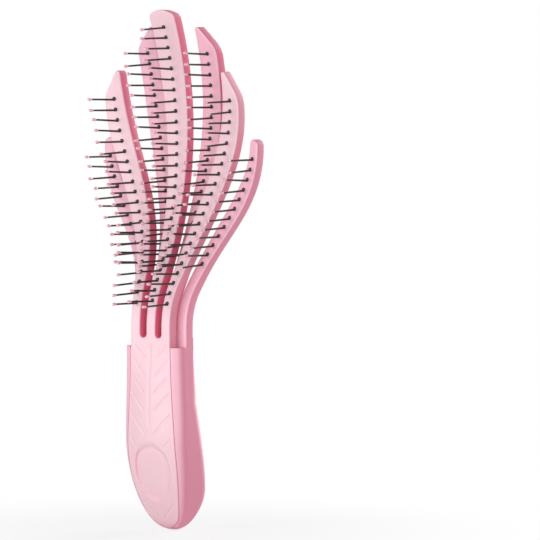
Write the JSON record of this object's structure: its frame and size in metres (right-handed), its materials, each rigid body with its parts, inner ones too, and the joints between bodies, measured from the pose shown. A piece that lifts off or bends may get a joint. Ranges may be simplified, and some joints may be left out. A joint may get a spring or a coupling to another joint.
{
  "type": "detangling hair brush",
  "caption": "Detangling hair brush with flexing curved fingers in two stacked layers, rows of thin bead-tipped pins and a rounded two-piece handle with a thumb rest.",
  "frame": {"origin": "in the middle of the handle, where the hand closes round it", "axes": "+Z along the handle towards the finger tips, the pins point along -Y, X from side to side"},
  "size_m": [0.0868, 0.0467, 0.23],
  "materials": {
    "shell": "satin moulded",
    "cover": "satin moulded",
    "finger": "satin moulded",
    "pin": "smooth nylon filament",
    "tip": "dipped, glossy"
  },
  "bodies": {
    "handle": {"rear_shell": "shell", "front_cover": "cover"},
    "finger_centre": {"finger_centre": "finger", "pins_centre": "pin", "tips_centre": "tip"},
    "finger_mid_right": {"finger_mid_right": "finger", "pins_mid_right": "pin", "tips_mid_right": "tip"},
    "finger_mid_left": {"finger_mid_left": "finger", "pins_mid_left": "pin", "tips_mid_left": "tip"},
    "finger_inner_right": {"finger_inner_right": "finger", "pins_inner_right": "pin", "tips_inner_right": "tip"},
    "finger_inner_left": {"finger_inner_left": "finger", "pins_inner_left": "pin", "tips_inner_left": "tip"},
    "finger_outer_right": {"finger_outer_right": "finger", "pins_outer_right": "pin", "tips_outer_right": "tip"},
    "finger_outer_left": {"finger_outer_left": "finger", "pins_outer_left": "pin", "tips_outer_left": "tip"}
  },
  "joints": [
    {"name": "flex_centre", "type": "hinge", "parent": "handle", "child": "finger_centre", "pos_m": [0, -0.00635, 0.044], "axis": [1, 0, 0], "range_deg": [-0.6, 8], "stiffness_Nm_per_rad": 2},
    {"name": "flex_mid_right", "type": "hinge", "parent": "handle", "child": "finger_mid_right", "pos_m": [0.00846, -0.00653, 0.044], "axis": [0.9991, -0.0426, 0], "range_deg": [-0.6, 8], "stiffness_Nm_per_rad": 2},
    {"name": "flex_mid_left", "type": "hinge", "parent": "handle", "child": "finger_mid_left", "pos_m": [-0.00846, -0.00653, 0.044], "axis": [0.9991, 0.0426, 0], "range_deg": [-0.6, 8], "stiffness_Nm_per_rad": 2},
    {"name": "flex_inner_right", "type": "hinge", "parent": "handle", "child": "finger_inner_right", "pos_m": [0.00423, -0.00009, 0.044], "axis": [0.9998, -0.0206, 0], "range_deg": [-8, 0], "stiffness_Nm_per_rad": 2.2},
    {"name": "flex_inner_left", "type": "hinge", "parent": "handle", "child": "finger_inner_left", "pos_m": [-0.00423, -0.00009, 0.044], "axis": [0.9998, 0.0206, 0], "range_deg": [-8, 0], "stiffness_Nm_per_rad": 2.2},
    {"name": "flex_outer_right", "type": "hinge", "parent": "handle", "child": "finger_outer_right", "pos_m": [0.01281, -0.00045, 0.044], "axis": [0.998, -0.0625, 0], "range_deg": [-8, 0], "stiffness_Nm_per_rad": 2.3},
    {"name": "flex_outer_left", "type": "hinge", "parent": "handle", "child": "finger_outer_left", "pos_m": [-0.01281, -0.00045, 0.044], "axis": [0.998, 0.0625, 0], "range_deg": [-8, 0], "stiffness_Nm_per_rad": 2.3}
  ]
}
